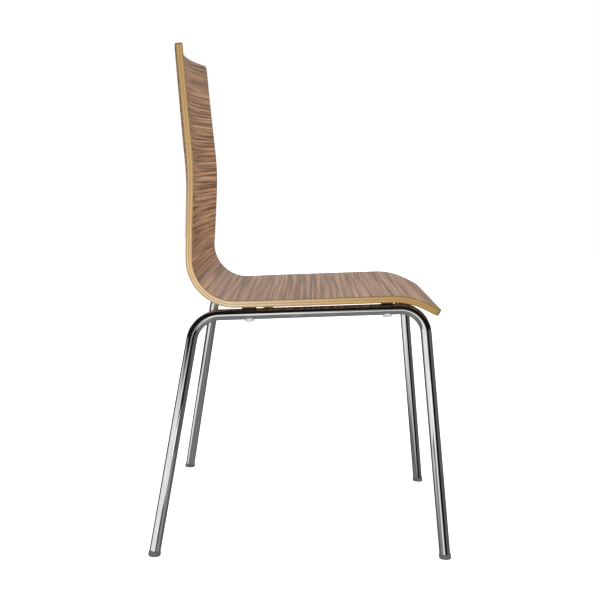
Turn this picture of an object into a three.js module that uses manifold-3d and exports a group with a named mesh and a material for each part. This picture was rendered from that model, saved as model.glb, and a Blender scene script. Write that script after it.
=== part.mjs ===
// Stacking chair: a one-piece moulded plywood seat and back on two bent steel side frames.
// Millimetres, +Z up. The sitter faces -Y, X runs across the width, and the origin lies on
// the floor midway between the four feet.
import * as THREE from "three";
import { mergeVertices } from "three/addons/utils/BufferGeometryUtils.js";
import Module from "manifold-3d";

const wasm = await Module();
wasm.setup();

// ---- driving dimensions -------------------------------------------------------------

const CLEARANCE = 0.3;

// Shell: the middle line of the plywood seen from the side, as corners [y, z] joined by
// straight stretches, with the radius that rounds each inner corner.
const PLY_THICKNESS = 12;
const VENEER_THICKNESS = 0.6;
const GLUE_LINE = 0.15;
const FRONT_LIP = [-219.4, 423.8];
const WATERFALL_CORNER = { at: [-165.2, 448], radius: 122, steps: 5 };
const SEAT_BACK_CORNER = { at: [207.9, 420.6], radius: 74, steps: 9 };
const LUMBAR_CORNER = { at: [208.1, 648.7], radius: 554, steps: 3 };
const BACK_TOP = [231.3, 856];
const TOP_CORNER_RADIUS = 12;
const LIP_CORNER_RADIUS = 18;
const CORNER_STEPS = 4;
const LONGEST_STRETCH = 70;
const CUTTER_MARGIN = 15;

// Half the shell's width: a slight waist where it bends, widest at the small of the back
const SEAT_HALF_WIDTH = 200;
const WAIST = { halfWidth: 191, y: 190, z: 451.5 };
const WAIST_STARTS_Y = 60;
const LUMBAR = { halfWidth: 205, z: 596.5 };
const TOP_HALF_WIDTH = 188.6;

// The back is hollowed around the sitter: its middle lies behind its two side edges, and
// a little lower.
const BACK_HOLLOW = 20.5;
const HOLLOW_POWER = 1.8;
const HOLLOW_DROP = 4;
const HOLLOW_STARTS_Z = 426.5;
const HOLLOW_FULL_Z = 700;
const STEPS_ACROSS = 10;

// Side frames
const TUBE_RADIUS = 9.5;
const TUBE_WALL = 1.5;
const TUBE_SIDES = 20;
const BORE_SIDES = 14;
const RAIL_X = 188;
const RAIL_HEIGHT_AT_ORIGIN = 417.6;
const SEAT_FALL = 0.073;
const REAR_CORNER_Y = 194.8;
const FRONT_CORNER_Y = -191.4;
const REAR_FOOT = [247, 249];
const FRONT_FOOT = [209.8, -249];
const REAR_BEND_RADIUS = 49;
const FRONT_BEND_RADIUS = 44;
const BEND_STEPS = 6;

// Cross tubes, welded between the rails
const CROSS_TUBE_RADIUS = 8;
const CROSS_TUBE_BORE = 6.5;
const FRONT_CROSS_TUBE_Y = -157;
const REAR_CROSS_TUBE_Y = 75;

// Fixings: screw, stacking buffer, saddle spacer and threaded insert on one axis
const FRONT_FIXING_Y = -129;
const REAR_FIXING_Y = 104;
const SCREW_RADIUS = 3;
const SCREW_LENGTH = 31;
const SCREW_HEAD_RADIUS = 5.3;
const SCREW_HEAD_HEIGHT = 1.6;
const SOCKET_RADIUS = 2.3;
const SOCKET_DEPTH = 1;
const SPACER_HALF_WIDTH = 7;
const SPACER_SKIRT = 9;
const FRONT_SPACER_LENGTH = 20;
const REAR_SPACER_LENGTH = 24;
const BUFFER_RADIUS = 8;
const BUFFER_DROP = 3.2;
const BUFFER_SEAT = 0.8;
const INSERT_RADIUS = 4.5;
const INSERT_LENGTH = 8.8;
const SMALL_SIDES = 16;

// Foot glides
const GLIDE_RADIUS = 10.4;
const GLIDE_HEAD_HEIGHT = 7.4;
const GLIDE_STEM_LENGTH = 23;
const GLIDE_EDGE = 2;
const GLIDE_BELOW_FLOOR = 2.4;

// Finishes
const FINISHES = {
  ply: { color: 0xd8bd8c, roughness: 0.6, metalness: 0 },
  veneer: { color: 0x8a6a55, roughness: 0.5, metalness: 0 },
  chrome: { color: 0xd4d6d8, roughness: 0.12, metalness: 1 },
  spacer: { color: 0x241c19, roughness: 0.7, metalness: 0 },
  buffer: { color: 0xc9cbca, roughness: 0.5, metalness: 0 },
  glide: { color: 0x5f6163, roughness: 0.6, metalness: 0 },
  screw: { color: 0xa9adb0, roughness: 0.35, metalness: 1 },
  insert: { color: 0xb9a878, roughness: 0.4, metalness: 1 },
};

// ---- derived from the driving dimensions --------------------------------------------

const TUBE_BORE = TUBE_RADIUS - TUBE_WALL;
const CORE_HALF = PLY_THICKNESS / 2 - VENEER_THICKNESS - GLUE_LINE;
const VENEER_INNER = CORE_HALF + GLUE_LINE;
const VENEER_OUTER = PLY_THICKNESS / 2;
const SEAT_ANGLE = Math.atan(SEAT_FALL);

const railHeight = (y) => RAIL_HEIGHT_AT_ORIGIN - SEAT_FALL * y;

// Height of the shell's underside above the rail's centre line, square to the seat
const SEAT_LINE_AT_ORIGIN = SEAT_BACK_CORNER.at[1] + SEAT_FALL * SEAT_BACK_CORNER.at[0];
const UNDERSIDE = (SEAT_LINE_AT_ORIGIN - RAIL_HEIGHT_AT_ORIGIN) * Math.cos(SEAT_ANGLE) - VENEER_OUTER;

// ---- solids and booleans ------------------------------------------------------------

function toSolid(geometry) {
  const bare = geometry.clone();
  bare.deleteAttribute("normal");
  bare.deleteAttribute("uv");
  const merged = mergeVertices(bare, 1e-4);
  return new wasm.Manifold(
    new wasm.Mesh({
      numProp: 3,
      vertProperties: new Float32Array(merged.attributes.position.array),
      triVerts: new Uint32Array(merged.index.array),
    })
  );
}

function toGeometry(solid) {
  const mesh = solid.getMesh();
  const geometry = new THREE.BufferGeometry();
  geometry.setAttribute("position", new THREE.BufferAttribute(mesh.vertProperties, 3));
  geometry.setIndex(new THREE.BufferAttribute(mesh.triVerts, 1));
  geometry.computeVertexNormals();
  return geometry;
}

function subtractAll(geometry, cutters) {
  const cut = cutters.reduce((solid, cutter) => solid.subtract(toSolid(cutter)), toSolid(geometry));
  return toGeometry(cut);
}

function piece(name, geometry, finish) {
  const mesh = new THREE.Mesh(geometry, new THREE.MeshStandardMaterial(FINISHES[finish]));
  mesh.name = name;
  return mesh;
}

// A cylinder along the local Z axis from one height to another
function uprightCylinder(radius, low, high, sides) {
  const geometry = new THREE.CylinderGeometry(radius, radius, high - low, sides);
  geometry.rotateX(Math.PI / 2);
  geometry.translate(0, 0, (low + high) / 2);
  return geometry;
}

// A turned solid about the local Z axis; the outline is a list of [radius, height]
function turned(outline, sides) {
  const points = outline.map(([radius, height]) => new THREE.Vector2(radius, height));
  const geometry = new THREE.LatheGeometry(points, sides);
  geometry.rotateX(Math.PI / 2);
  return geometry;
}

// ---- rounded paths ------------------------------------------------------------------

// Replaces a corner between two straight stretches by points on a tangent arc
function roundedCorner(before, corner, after, radius, steps) {
  const inward = before.clone().sub(corner).normalize();
  const outward = after.clone().sub(corner).normalize();
  const halfAngle = inward.angleTo(outward) / 2;
  const bisector = inward.clone().add(outward).normalize();
  const centre = corner.clone().addScaledVector(bisector, radius / Math.sin(halfAngle));
  const toStart = corner.clone().addScaledVector(inward, radius / Math.tan(halfAngle)).sub(centre);
  const axis = new THREE.Vector3().crossVectors(inward, outward).normalize().negate();
  const sweep = Math.PI - 2 * halfAngle;
  const points = [];
  for (let i = 0; i <= steps; i += 1) {
    points.push(toStart.clone().applyAxisAngle(axis, (sweep * i) / steps).add(centre));
  }
  return points;
}

// A path through given stations, so that its straight stretches need no points of their own
class StationPath extends THREE.Curve {
  constructor(stations) {
    super();
    this.stations = stations;
  }

  getPoint(t) {
    const last = this.stations.length - 1;
    const place = THREE.MathUtils.clamp(t, 0, 1) * last;
    const index = Math.min(Math.floor(place), last - 1);
    return this.stations[index].clone().lerp(this.stations[index + 1], place - index);
  }

  getUtoTmapping(u) {
    return u;
  }
}

function sweptRod(stations, radius, sides) {
  const section = new THREE.Shape();
  section.absarc(0, 0, radius, 0, Math.PI * 2, false);
  return new THREE.ExtrudeGeometry(section, {
    steps: stations.length - 1,
    curveSegments: sides / 2,
    extrudePath: new StationPath(stations),
  });
}

// ---- plywood shell ------------------------------------------------------------------

const profilePoint = ([y, z]) => new THREE.Vector3(0, y, z);

const LIP_DIRECTION = profilePoint(WATERFALL_CORNER.at).sub(profilePoint(FRONT_LIP)).normalize();
const TOP_DIRECTION = profilePoint(BACK_TOP).sub(profilePoint(LUMBAR_CORNER.at)).normalize();

// Points close to an end of the shell, where its corners are rounded
function endPoints(end, direction, radius) {
  const points = [];
  for (let i = 0; i <= CORNER_STEPS; i += 1) {
    const distance = radius * (1 - Math.cos((i / CORNER_STEPS) * (Math.PI / 2)));
    points.push(profilePoint(end).addScaledVector(direction, distance));
  }
  return points;
}

function shellMiddleLine() {
  const corners = [WATERFALL_CORNER, SEAT_BACK_CORNER, LUMBAR_CORNER];
  const ends = [FRONT_LIP, ...corners.map((corner) => corner.at), BACK_TOP].map(profilePoint);
  const bends = corners.flatMap((corner, i) =>
    roundedCorner(ends[i], ends[i + 1], ends[i + 2], corner.radius, corner.steps)
  );
  const lip = endPoints(FRONT_LIP, LIP_DIRECTION, LIP_CORNER_RADIUS);
  const top = endPoints(BACK_TOP, TOP_DIRECTION.clone().negate(), TOP_CORNER_RADIUS).reverse();
  return splitLongStretches([...lip, ...bends, ...top]);
}

// Adds points to the straight stretches, so that the outline can vary along them
function splitLongStretches(line) {
  return line.flatMap((point, i) => {
    const next = line[i + 1];
    const pieces = next ? Math.ceil(point.distanceTo(next) / LONGEST_STRETCH) : 1;
    return Array.from({ length: pieces }, (_, k) => (k === 0 ? point : point.clone().lerp(next, k / pieces)));
  });
}

// The unit vector square to the line at station i, pointing to the sitter's side
function sitterSide(line, i) {
  const before = line[Math.max(i - 1, 0)];
  const after = line[Math.min(i + 1, line.length - 1)];
  const intoStation = line[i].clone().sub(before).normalize();
  const outOfStation = after.clone().sub(line[i]).normalize();
  const tangent = intoStation.add(outOfStation).normalize();
  return new THREE.Vector3(0, -tangent.z, tangent.y);
}

// How far the rounded corners pull in the side edge at a distance from the end
function cornerInset(distance, radius) {
  const short = Math.max(radius - distance, 0);
  return radius - Math.sqrt(Math.max(radius * radius - short * short, 0));
}

// Half the width of the shell before its corners are rounded
function outlineHalfWidth(point) {
  const blend = THREE.MathUtils.smoothstep;
  const onSeat = point.y < WAIST_STARTS_Y || point.z < WAIST.z;
  if (onSeat) {
    const waist = blend(point.y, WAIST_STARTS_Y, WAIST.y);
    return THREE.MathUtils.lerp(SEAT_HALF_WIDTH, WAIST.halfWidth, waist);
  }
  if (point.z < LUMBAR.z) {
    return THREE.MathUtils.lerp(WAIST.halfWidth, LUMBAR.halfWidth, blend(point.z, WAIST.z, LUMBAR.z));
  }
  return THREE.MathUtils.lerp(LUMBAR.halfWidth, TOP_HALF_WIDTH, blend(point.z, LUMBAR.z, BACK_TOP[1]));
}

function halfWidthAt(point) {
  const fromLip = point.clone().sub(profilePoint(FRONT_LIP)).dot(LIP_DIRECTION);
  const fromTop = profilePoint(BACK_TOP).sub(point).dot(TOP_DIRECTION);
  const lipInset = cornerInset(Math.max(fromLip, 0), LIP_CORNER_RADIUS);
  const topInset = cornerInset(Math.max(fromTop, 0), TOP_CORNER_RADIUS);
  const lowEnd = point.y < WATERFALL_CORNER.at[0];
  return outlineHalfWidth(point) - (lowEnd ? lipInset : topInset);
}

// How fully a place on the shell is hollowed, from 0 at the side edges and on the seat to 1
function hollowShare(x, z) {
  const across = Math.abs(x) / SEAT_HALF_WIDTH;
  return THREE.MathUtils.smoothstep(z, HOLLOW_STARTS_Z, HOLLOW_FULL_Z) * (1 - across ** HOLLOW_POWER);
}

// One layer of the shell, between two distances from the middle line towards the sitter.
// With a margin it also runs past every edge, to serve as a cutter.
function shellLayer(lower, upper, margin = 0) {
  const line = shellMiddleLine();
  const extra = margin > 0 ? 1 : 0;
  if (extra) {
    line.unshift(line[0].clone().addScaledVector(LIP_DIRECTION, -margin));
    line.push(line[line.length - 1].clone().addScaledVector(TOP_DIRECTION, margin));
  }
  const offset = (distance) => line.map((p, i) => p.clone().addScaledVector(sitterSide(line, i), distance));
  const outline = [...offset(lower), ...offset(upper).reverse()];
  const shape = new THREE.Shape(outline.map((p) => new THREE.Vector2(p.y, p.z)));
  const steps = STEPS_ACROSS + 2 * extra;
  const geometry = new THREE.ExtrudeGeometry(shape, { depth: steps, steps, bevelEnabled: false });
  const position = geometry.attributes.position;
  for (let i = 0; i < position.count; i += 1) {
    const column = (2 * (Math.round(position.getZ(i)) - extra)) / STEPS_ACROSS - 1;
    const across = THREE.MathUtils.clamp(column, -1, 1);
    const point = new THREE.Vector3(0, position.getX(i), position.getY(i));
    const x = across * halfWidthAt(point) + Math.sign(column - across) * margin;
    const share = hollowShare(x, point.z);
    position.setXYZ(i, x, point.y + BACK_HOLLOW * share, point.z - HOLLOW_DROP * share);
  }
  return geometry;
}

function frontVeneer() {
  return subtractAll(shellLayer(0, VENEER_OUTER), [shellLayer(-VENEER_OUTER, VENEER_INNER, CUTTER_MARGIN)]);
}

function rearVeneer(holes) {
  return subtractAll(shellLayer(-VENEER_OUTER, 0), [shellLayer(-VENEER_INNER, VENEER_OUTER, CUTTER_MARGIN), ...holes]);
}

// ---- side frames --------------------------------------------------------------------

// The centre line of one side frame, from the end of its rear leg to the end of its front leg.
// side is +1 for the sitter's left and -1 for the right.
function frameStations(side, extra) {
  const rearFoot = new THREE.Vector3(side * REAR_FOOT[0], REAR_FOOT[1], 0);
  const frontFoot = new THREE.Vector3(side * FRONT_FOOT[0], FRONT_FOOT[1], 0);
  const rearCorner = new THREE.Vector3(side * RAIL_X, REAR_CORNER_Y, railHeight(REAR_CORNER_Y));
  const frontCorner = new THREE.Vector3(side * RAIL_X, FRONT_CORNER_Y, railHeight(FRONT_CORNER_Y));
  const aboveFloor = GLIDE_HEAD_HEIGHT + CLEARANCE - extra;
  const rearEnd = rearFoot.clone().addScaledVector(rearCorner.clone().sub(rearFoot).normalize(), aboveFloor);
  const frontEnd = frontFoot.clone().addScaledVector(frontCorner.clone().sub(frontFoot).normalize(), aboveFloor);
  return [
    rearEnd,
    ...roundedCorner(rearFoot, rearCorner, frontCorner, REAR_BEND_RADIUS, BEND_STEPS),
    ...roundedCorner(rearCorner, frontCorner, frontFoot, FRONT_BEND_RADIUS, BEND_STEPS),
    frontEnd,
  ];
}

// Turns a shape made square to the floor so that it stands square to the sloping seat
function onRail(geometry, side, y) {
  geometry.rotateX(-SEAT_ANGLE);
  geometry.translate(side * RAIL_X, y, railHeight(y));
  return geometry;
}

const FIXING_YS = [FRONT_FIXING_Y, REAR_FIXING_Y];

function sideFrame(side) {
  const outside = sweptRod(frameStations(side, 0), TUBE_RADIUS, TUBE_SIDES);
  const bore = sweptRod(frameStations(side, 1), TUBE_BORE, BORE_SIDES);
  const drill = (y) => onRail(
    uprightCylinder(SCREW_RADIUS + CLEARANCE, -2 * TUBE_RADIUS, 2 * TUBE_RADIUS, SMALL_SIDES),
    side,
    y
  );
  return subtractAll(outside, [bore, ...FIXING_YS.map(drill)]);
}

// A straight tube across the chair, its ends coped to fit the two rails
function crossTube(y) {
  const rod = (radius, reach) => {
    const geometry = new THREE.CylinderGeometry(radius, radius, 2 * reach, TUBE_SIDES);
    geometry.rotateZ(Math.PI / 2);
    geometry.translate(0, y, railHeight(y));
    return geometry;
  };
  const cope = (side) => sweptRod(frameStations(side, 0), TUBE_RADIUS + CLEARANCE, TUBE_SIDES);
  return subtractAll(rod(CROSS_TUBE_RADIUS, RAIL_X), [cope(1), cope(-1), rod(CROSS_TUBE_BORE, RAIL_X + 1)]);
}

// ---- fixings, each made about its own axis with the rail's centre line at height 0 ----

function spacer(length) {
  const seatRadius = TUBE_RADIUS + CLEARANCE;
  const skirtAngle = Math.asin(SPACER_SKIRT / seatRadius);
  const top = UNDERSIDE - CLEARANCE;
  const section = new THREE.Shape();
  section.moveTo(-SPACER_HALF_WIDTH, SPACER_SKIRT);
  section.absarc(0, 0, seatRadius, Math.PI - skirtAngle, skirtAngle, true);
  section.lineTo(SPACER_HALF_WIDTH, SPACER_SKIRT);
  section.lineTo(SPACER_HALF_WIDTH, top);
  section.lineTo(-SPACER_HALF_WIDTH, top);
  section.closePath();
  const body = new THREE.ExtrudeGeometry(section, { depth: length, curveSegments: 12, bevelEnabled: false });
  body.rotateX(Math.PI / 2);
  body.translate(0, length / 2, 0);
  return subtractAll(body, [uprightCylinder(SCREW_RADIUS + CLEARANCE, 0, 2 * top, SMALL_SIDES)]);
}

const BUFFER_BOTTOM = -TUBE_RADIUS - BUFFER_DROP;
const BUFFER_FLOOR = -TUBE_RADIUS - CLEARANCE - BUFFER_SEAT;

function stackingBuffer() {
  const outer = turned(
    [
      [0, BUFFER_BOTTOM],
      [BUFFER_RADIUS - 1.2, BUFFER_BOTTOM],
      [BUFFER_RADIUS, BUFFER_BOTTOM + 1.2],
      [BUFFER_RADIUS, -TUBE_RADIUS + 3],
      [0, -TUBE_RADIUS + 3],
    ],
    SMALL_SIDES
  );
  const tube = new THREE.CylinderGeometry(TUBE_RADIUS + CLEARANCE, TUBE_RADIUS + CLEARANCE, 60, TUBE_SIDES);
  const headRecess = uprightCylinder(SCREW_HEAD_RADIUS + 0.5, BUFFER_BOTTOM - 1, BUFFER_FLOOR, SMALL_SIDES);
  const screwHole = uprightCylinder(SCREW_RADIUS + CLEARANCE, BUFFER_BOTTOM, 0, SMALL_SIDES);
  return subtractAll(outer, [tube, headRecess, screwHole]);
}

function seatScrew() {
  const seat = BUFFER_FLOOR - CLEARANCE;
  const headBottom = seat - SCREW_HEAD_HEIGHT;
  const tip = seat + SCREW_LENGTH;
  const body = turned(
    [
      [0, headBottom],
      [SCREW_HEAD_RADIUS - 1, headBottom],
      [SCREW_HEAD_RADIUS, headBottom + 1],
      [SCREW_HEAD_RADIUS, seat],
      [SCREW_RADIUS, seat],
      [SCREW_RADIUS, tip - 1],
      [SCREW_RADIUS - 1, tip],
      [0, tip],
    ],
    SMALL_SIDES
  );
  const socket = uprightCylinder(SOCKET_RADIUS, headBottom - 1, headBottom + SOCKET_DEPTH, 6);
  return subtractAll(body, [socket]);
}

// A barbed sleeve, flush with the underside of the shell
function threadedInsert() {
  const low = UNDERSIDE + CLEARANCE;
  const high = low + INSERT_LENGTH;
  const bore = SCREW_RADIUS + CLEARANCE;
  const groove = INSERT_RADIUS - 0.5;
  const outline = [
    [bore, low],
    [INSERT_RADIUS, low],
    [INSERT_RADIUS, low + 2],
    [groove, low + 2.4],
    [INSERT_RADIUS, low + 4.6],
    [groove, low + 5],
    [INSERT_RADIUS, low + 7.2],
    [groove, high],
    [bore, high],
    [bore, low],
  ];
  return turned(outline, SMALL_SIDES);
}

function insertHole(side, y) {
  const high = UNDERSIDE + INSERT_LENGTH + 2 * CLEARANCE;
  return onRail(uprightCylinder(INSERT_RADIUS + CLEARANCE, 0, high, SMALL_SIDES), side, y);
}

function fixingGroup(side, y, label, spacerLength) {
  const group = new THREE.Group();
  group.position.set(side * RAIL_X, y, railHeight(y));
  group.rotation.x = -SEAT_ANGLE;
  group.add(
    piece(`${label}_saddle_spacer`, spacer(spacerLength), "spacer"),
    piece(`${label}_stacking_buffer`, stackingBuffer(), "buffer"),
    piece(`${label}_seat_screw`, seatScrew(), "screw"),
    piece(`${label}_threaded_insert`, threadedInsert(), "insert")
  );
  return group;
}

// ---- foot glides --------------------------------------------------------------------

// A plug whose head covers the end of a leg; its underside is cut level with the floor
function footGlide(legDirection) {
  const stemRadius = TUBE_BORE - CLEARANCE - 0.1;
  const stemTop = GLIDE_HEAD_HEIGHT + GLIDE_STEM_LENGTH;
  const plug = turned(
    [
      [0, -GLIDE_BELOW_FLOOR],
      [GLIDE_RADIUS - GLIDE_EDGE, -GLIDE_BELOW_FLOOR],
      [GLIDE_RADIUS - 0.3 * GLIDE_EDGE, -GLIDE_BELOW_FLOOR + 0.3 * GLIDE_EDGE],
      [GLIDE_RADIUS, -GLIDE_BELOW_FLOOR + GLIDE_EDGE],
      [GLIDE_RADIUS, GLIDE_HEAD_HEIGHT - 1],
      [GLIDE_RADIUS - 1, GLIDE_HEAD_HEIGHT],
      [stemRadius, GLIDE_HEAD_HEIGHT],
      [stemRadius, stemTop - 2],
      [stemRadius - 1.5, stemTop],
      [0, stemTop],
    ],
    TUBE_SIDES
  );
  const upright = new THREE.Vector3(0, 0, 1);
  plug.applyQuaternion(new THREE.Quaternion().setFromUnitVectors(upright, legDirection));
  const floor = new THREE.BoxGeometry(60, 60, 20);
  floor.translate(0, 0, -10);
  return subtractAll(plug, [floor]);
}

function glideMesh(name, foot, corner) {
  const direction = corner.clone().sub(foot).normalize();
  const mesh = piece(name, footGlide(direction), "glide");
  mesh.position.copy(foot);
  return mesh;
}

// ---- assembly -----------------------------------------------------------------------

const chair = new THREE.Group();

const insertHoles = [1, -1].flatMap((side) => FIXING_YS.map((y) => insertHole(side, y)));
chair.add(
  piece("shell_core", subtractAll(shellLayer(-CORE_HALF, CORE_HALF), insertHoles), "ply"),
  piece("front_face_veneer", frontVeneer(), "veneer"),
  piece("rear_face_veneer", rearVeneer(insertHoles), "veneer"),
  piece("front_cross_tube", crossTube(FRONT_CROSS_TUBE_Y), "chrome"),
  piece("rear_cross_tube", crossTube(REAR_CROSS_TUBE_Y), "chrome")
);

for (const [hand, side] of [["left", 1], ["right", -1]]) {
  const feet = {
    front: new THREE.Vector3(side * FRONT_FOOT[0], FRONT_FOOT[1], 0),
    rear: new THREE.Vector3(side * REAR_FOOT[0], REAR_FOOT[1], 0),
  };
  const corners = {
    front: new THREE.Vector3(side * RAIL_X, FRONT_CORNER_Y, railHeight(FRONT_CORNER_Y)),
    rear: new THREE.Vector3(side * RAIL_X, REAR_CORNER_Y, railHeight(REAR_CORNER_Y)),
  };
  chair.add(
    piece(`${hand}_side_frame`, sideFrame(side), "chrome"),
    glideMesh(`front_${hand}_foot_glide`, feet.front, corners.front),
    glideMesh(`rear_${hand}_foot_glide`, feet.rear, corners.rear),
    fixingGroup(side, FRONT_FIXING_Y, `front_${hand}`, FRONT_SPACER_LENGTH),
    fixingGroup(side, REAR_FIXING_Y, `rear_${hand}`, REAR_SPACER_LENGTH)
  );
}

export default chair;
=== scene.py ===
import math

import bpy
import numpy as np
from mathutils import Matrix


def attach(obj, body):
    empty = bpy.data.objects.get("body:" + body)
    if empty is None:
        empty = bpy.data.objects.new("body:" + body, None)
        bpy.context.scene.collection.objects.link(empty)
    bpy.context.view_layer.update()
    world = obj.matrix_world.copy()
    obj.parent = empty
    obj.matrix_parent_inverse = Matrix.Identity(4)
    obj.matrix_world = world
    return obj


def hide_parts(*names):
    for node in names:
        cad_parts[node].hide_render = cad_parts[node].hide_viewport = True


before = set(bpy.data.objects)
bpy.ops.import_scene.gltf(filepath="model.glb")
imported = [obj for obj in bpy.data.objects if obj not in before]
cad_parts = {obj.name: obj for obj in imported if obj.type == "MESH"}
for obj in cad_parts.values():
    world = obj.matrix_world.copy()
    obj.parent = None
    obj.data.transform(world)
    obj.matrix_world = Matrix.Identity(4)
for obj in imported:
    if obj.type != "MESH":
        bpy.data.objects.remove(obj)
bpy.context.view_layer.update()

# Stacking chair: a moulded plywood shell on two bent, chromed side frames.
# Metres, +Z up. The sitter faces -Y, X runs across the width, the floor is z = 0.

MM = 0.001

# ---- dimensions, the same as the frame's ---------------------------------------------

# Shell: its middle line seen from the side, as corners [y, z] with the radius of each bend
PLY_THICKNESS = 12 * MM
VENEER_THICKNESS = 0.6 * MM
GLUE_LINE = 0.15 * MM
FRONT_LIP = np.array([-219.4, 423.8]) * MM
BACK_TOP = np.array([231.3, 856]) * MM
BENDS = [
    # corner, radius, number of steps around it
    (np.array([-165.2, 448]) * MM, 122 * MM, 20),
    (np.array([207.9, 420.6]) * MM, 74 * MM, 40),
    (np.array([208.1, 648.7]) * MM, 554 * MM, 14),
]
LIP_CORNER_RADIUS = 18 * MM
TOP_CORNER_RADIUS = 12 * MM
CORNER_STEPS = 9
LONGEST_STRETCH = 12 * MM
SEAT_HALF_WIDTH = 200 * MM
WAIST_HALF_WIDTH = 191 * MM
WAIST_STARTS_Y = 60 * MM
WAIST_Y = 190 * MM
WAIST_Z = 451.5 * MM
LUMBAR_HALF_WIDTH = 205 * MM
LUMBAR_Z = 596.5 * MM
TOP_HALF_WIDTH = 188.6 * MM
BACK_HOLLOW = 20.5 * MM
HOLLOW_POWER = 1.8
HOLLOW_DROP = 4 * MM
HOLLOW_STARTS_Z = 426.5 * MM
HOLLOW_FULL_Z = 700 * MM
EDGE_EASING = 0.45 * MM
COLUMNS = 44
EASED_ANGLES = (0, 0.55, 1.05)

# Side frames and cross tubes
TUBE_RADIUS = 9.5 * MM
TUBE_BORE = 8 * MM
TUBE_SIDES = 48
RAIL_X = 188 * MM
RAIL_HEIGHT_AT_ORIGIN = 417.6 * MM
SEAT_FALL = 0.073
REAR_CORNER_Y = 194.8 * MM
FRONT_CORNER_Y = -191.4 * MM
REAR_FOOT = np.array([247, 249]) * MM
FRONT_FOOT = np.array([209.8, -249]) * MM
REAR_BEND_RADIUS = 49 * MM
FRONT_BEND_RADIUS = 44 * MM
BEND_STEPS = 28
CROSS_TUBE_RADIUS = 8 * MM
CROSS_TUBE_BORE = 6.5 * MM
CROSS_TUBE_YS = {"front": -157 * MM, "rear": 75 * MM}
WELD_LEG = 1.6 * MM
TUBE_END_EASING = 0.3 * MM
QUARTER_ROUND = (0, 0.4, 0.8, 1.2, math.pi / 2)

# Fixings, on one axis square to the rail
FIXING_YS = {"front": -129 * MM, "rear": 104 * MM}
SPACER_LENGTHS = {"front": 20 * MM, "rear": 24 * MM}
SPACER_HALF_WIDTH = 7 * MM
SPACER_SKIRT = 9 * MM
SPACER_ROUNDING = 0.8 * MM
SCREW_RADIUS = 3 * MM
SCREW_LENGTH = 31 * MM
SCREW_HEAD_RADIUS = 5.3 * MM
SCREW_HEAD_HEIGHT = 1.6 * MM
SOCKET_RADIUS = 2.3 * MM
SOCKET_DEPTH = 1 * MM
THREAD_PITCH = 1 * MM
THREAD_DEPTH = 0.45 * MM
BUFFER_RADIUS = 8 * MM
BUFFER_DROP = 3.2 * MM
BUFFER_SEAT = 0.8 * MM
CLEARANCE = 0.3 * MM

# Foot glides
GLIDE_RADIUS = 10.4 * MM
GLIDE_HEAD_HEIGHT = 7.4 * MM
GLIDE_STEM_LENGTH = 23 * MM
GLIDE_ROUNDING = 2.2 * MM
GLIDE_BELOW_FLOOR = 2.4 * MM

SEAT_ANGLE = math.atan(SEAT_FALL)
HALF_PLY = PLY_THICKNESS / 2
CORE_HALF = HALF_PLY - VENEER_THICKNESS - GLUE_LINE
SIDES = {"left": 1, "right": -1}


def rail_height(y):
    return RAIL_HEIGHT_AT_ORIGIN - SEAT_FALL * y


SEAT_CORNER = BENDS[1][0]
UNDERSIDE = (
    (SEAT_CORNER[1] + SEAT_FALL * SEAT_CORNER[0] - RAIL_HEIGHT_AT_ORIGIN) * math.cos(SEAT_ANGLE)
    - HALF_PLY
)


# ---- mesh helpers --------------------------------------------------------------------

def unit(vector):
    return vector / np.linalg.norm(vector)


def make_piece(name, vertices, faces, material, replaced, sharp_degrees=38):
    """A mesh object in the frame's own coordinates, riding on the chair."""
    mesh = bpy.data.meshes.new(name)
    mesh.from_pydata([tuple(v) for v in vertices], [], faces)
    mesh.validate()
    mesh.polygons.foreach_set("use_smooth", [True] * len(mesh.polygons))
    mesh.set_sharp_from_angle(angle=math.radians(sharp_degrees))
    mesh.materials.append(material)
    piece = bpy.data.objects.new(name, mesh)
    bpy.context.scene.collection.objects.link(piece)
    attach(piece, "root")
    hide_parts(*replaced)
    return piece


def loft(rings, closed=False):
    """Joins rings of equal length by quads; an open loft gets a flat face at each end."""
    count = len(rings[0])
    vertices = [tuple(point) for ring in rings for point in ring]
    faces = []
    last = len(rings) if closed else len(rings) - 1
    for i in range(last):
        here = i * count
        there = ((i + 1) % len(rings)) * count
        for k in range(count):
            following = (k + 1) % count
            faces.append((here + k, here + following, there + following, there + k))
    if not closed:
        end = (len(rings) - 1) * count
        faces.append(tuple(reversed(range(count))))
        faces.append(tuple(end + k for k in range(count)))
    return vertices, faces


def circle(radius, height, sides):
    """A ring about the local Z axis; radius may be a function of the angle."""
    points = []
    for k in range(sides):
        angle = 2 * math.pi * k / sides
        reach = radius(angle) if callable(radius) else radius
        points.append((reach * math.cos(angle), reach * math.sin(angle), height))
    return np.array(points)


def rounded_corner(before, corner, after, radius, steps):
    """Points on the arc that replaces a corner between two straight stretches."""
    inward = unit(before - corner)
    outward = unit(after - corner)
    half = math.acos(float(np.clip(inward @ outward, -1, 1))) / 2
    centre = corner + unit(inward + outward) * radius / math.sin(half)
    start = unit(corner + inward * radius / math.tan(half) - centre)
    sweep = math.pi - 2 * half
    return [
        centre + radius * (start * math.cos(sweep * i / steps) - inward * math.sin(sweep * i / steps))
        for i in range(steps + 1)
    ]


def smoothstep(value, low, high):
    t = min(max((value - low) / (high - low), 0.0), 1.0)
    return t * t * (3 - 2 * t)


# ---- plywood shell -------------------------------------------------------------------

LIP_DIRECTION = unit(BENDS[0][0] - FRONT_LIP)
TOP_DIRECTION = unit(BACK_TOP - BENDS[2][0])


def end_distances(radius):
    """Distances from an end of the shell: close together at the eased rim, then around
    the rounded corner."""
    eased = [EDGE_EASING * (1 - math.cos(a)) for a in EASED_ANGLES]
    corner = [radius * (1 - math.cos(i / CORNER_STEPS * math.pi / 2)) for i in range(1, CORNER_STEPS + 1)]
    return eased + [d for d in corner if d > eased[-1]]


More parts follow.
